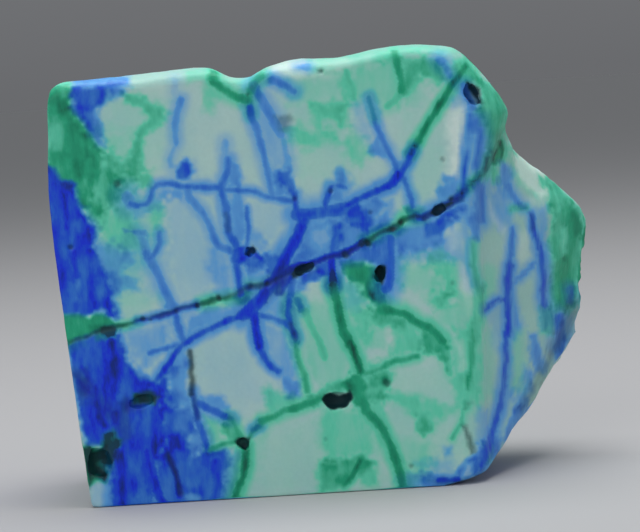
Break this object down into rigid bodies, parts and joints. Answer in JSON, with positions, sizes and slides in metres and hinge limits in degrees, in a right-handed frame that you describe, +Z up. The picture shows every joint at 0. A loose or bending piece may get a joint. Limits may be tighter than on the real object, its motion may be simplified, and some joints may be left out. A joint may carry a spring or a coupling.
{
  "type": "raw azurite malachite stone",
  "caption": "Raw block of pale rock veined and patched with blue azurite and green malachite, with a sawn flat front, left side and foot, and a rough broken back.",
  "frame": {"origin": "on the sawn foot, under the middle of the stone's bounding box", "axes": "+Z up from the sawn foot, -Y out of the sawn front, +X towards the broken side on the right as seen from the front"},
  "size_m": [0.0664, 0.031, 0.0533],
  "materials": {
    "stone": "satin stone, pale grey-green, veined and patched with deep blue and green"
  },
  "bodies": {
    "root": {"stone": "stone"}
  },
  "joints": []
}
